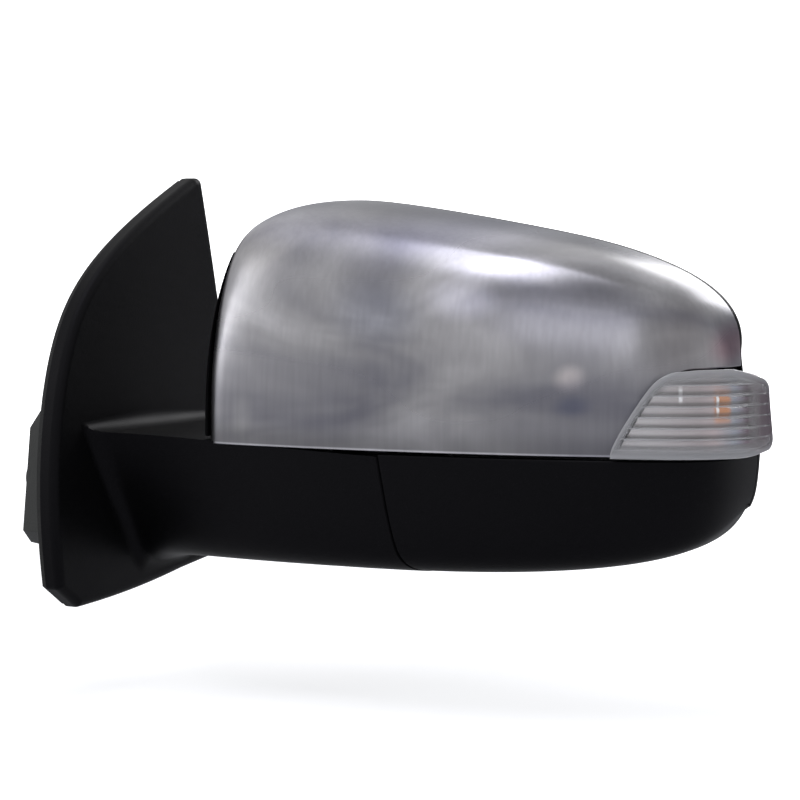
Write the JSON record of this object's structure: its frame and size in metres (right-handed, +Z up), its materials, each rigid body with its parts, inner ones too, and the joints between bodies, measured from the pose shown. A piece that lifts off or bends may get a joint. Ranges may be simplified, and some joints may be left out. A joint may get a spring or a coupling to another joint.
{
  "type": "car side mirror",
  "caption": "Left door mirror: chrome-capped folding head with side lamp, power glass and drive, on a grained sail and arm with studs for the door.",
  "frame": {"origin": "centre of the three door studs' circle, on the door face of the gasket", "axes": "-X along the studs into the door, +X outboard, +Y rearward (the way the glass faces), +Z up"},
  "size_m": [0.3539, 0.1686, 0.2093],
  "materials": {
    "cap_chrome": "bright chrome plating on moulded plastic",
    "grained_black": "fine moulded grain",
    "housing_black": "fine moulded grain",
    "frame_plastic": "glass-filled, as moulded",
    "drive_plastic": "as moulded",
    "carrier_plastic": "as moulded",
    "gear_plastic": "natural acetal",
    "gasket_foam": "closed-cell foam",
    "boot_rubber": "soft moulded, dull",
    "cast_alloy": "die-cast, as cast",
    "zinc_steel": "zinc plated",
    "spring_steel": "oiled",
    "motor_can": "plated can",
    "clear_lens": "clear moulded plastic with level flutes",
    "lamp_grey": "metallised",
    "amber_glass": "amber dipped",
    "heater_foil": "printed foil",
    "silvered_glass": "silvered, flat",
    "clip_white": "natural nylon"
  },
  "bodies": {
    "base": {"base_housing": "grained_black", "door_gasket": "gasket_foam", "base_bracket": "cast_alloy", "door_studs": "zinc_steel", "locating_clip": "clip_white", "harness_boot": "boot_rubber", "fold_spindle": "zinc_steel", "detent_plate": "spring_steel", "fold_gear": "gear_plastic", "fold_spring": "spring_steel", "spring_washer": "zinc_steel", "spindle_clip": "spring_steel", "housing_screws": "zinc_steel", "spindle_screws": "zinc_steel"},
    "head": {"fold_drive_case": "drive_plastic", "fold_drive_lid": "drive_plastic", "fold_motor": "motor_can", "cap_shell": "cap_chrome", "lower_cover": "grained_black", "rear_housing": "housing_black", "head_frame": "frame_plastic", "actuator_case": "drive_plastic", "actuator_cover": "drive_plastic", "tilt_motor": "motor_can", "pan_motor": "motor_can", "lamp_lens": "clear_lens", "lamp_housing": "lamp_grey", "lamp_bulb": "amber_glass", "drive_screws": "zinc_steel", "actuator_screws": "zinc_steel"},
    "gimbal": {"gimbal_cross": "gear_plastic"},
    "glass": {"glass_carrier": "carrier_plastic", "heater_pad": "heater_foil", "mirror_glass": "silvered_glass"},
    "tilt_rod": {"tilt_plunger": "gear_plastic"},
    "pan_rod": {"pan_plunger": "gear_plastic"}
  },
  "joints": [
    {"name": "head_fold", "type": "hinge", "parent": "base", "child": "head", "pos_m": [0.112, -0.005, 0.0309], "axis": [0.0454, 0, 0.999], "range_deg": [-50, 65]},
    {"name": "glass_pan", "type": "hinge", "parent": "head", "child": "gimbal", "pos_m": [0.2, 0.029, 0.062], "axis": [0, 0, 1], "range_deg": [-8, 8]},
    {"name": "glass_tilt", "type": "hinge", "parent": "gimbal", "child": "glass", "pos_m": [0.2, 0.029, 0.062], "axis": [1, 0, 0], "range_deg": [-8, 8]},
    {"name": "tilt_push", "type": "slide", "parent": "head", "child": "tilt_rod", "axis": [0, 1, 0], "range_m": [-0.0045, 0.0045]},
    {"name": "pan_push", "type": "slide", "parent": "head", "child": "pan_rod", "axis": [0, 1, 0], "range_m": [-0.0045, 0.0045]}
  ],
  "couplings": [
    {"joint": "tilt_push", "follows": "glass_tilt", "m_per_rad": 0.03},
    {"joint": "pan_push", "follows": "glass_pan", "m_per_rad": -0.03}
  ]
}
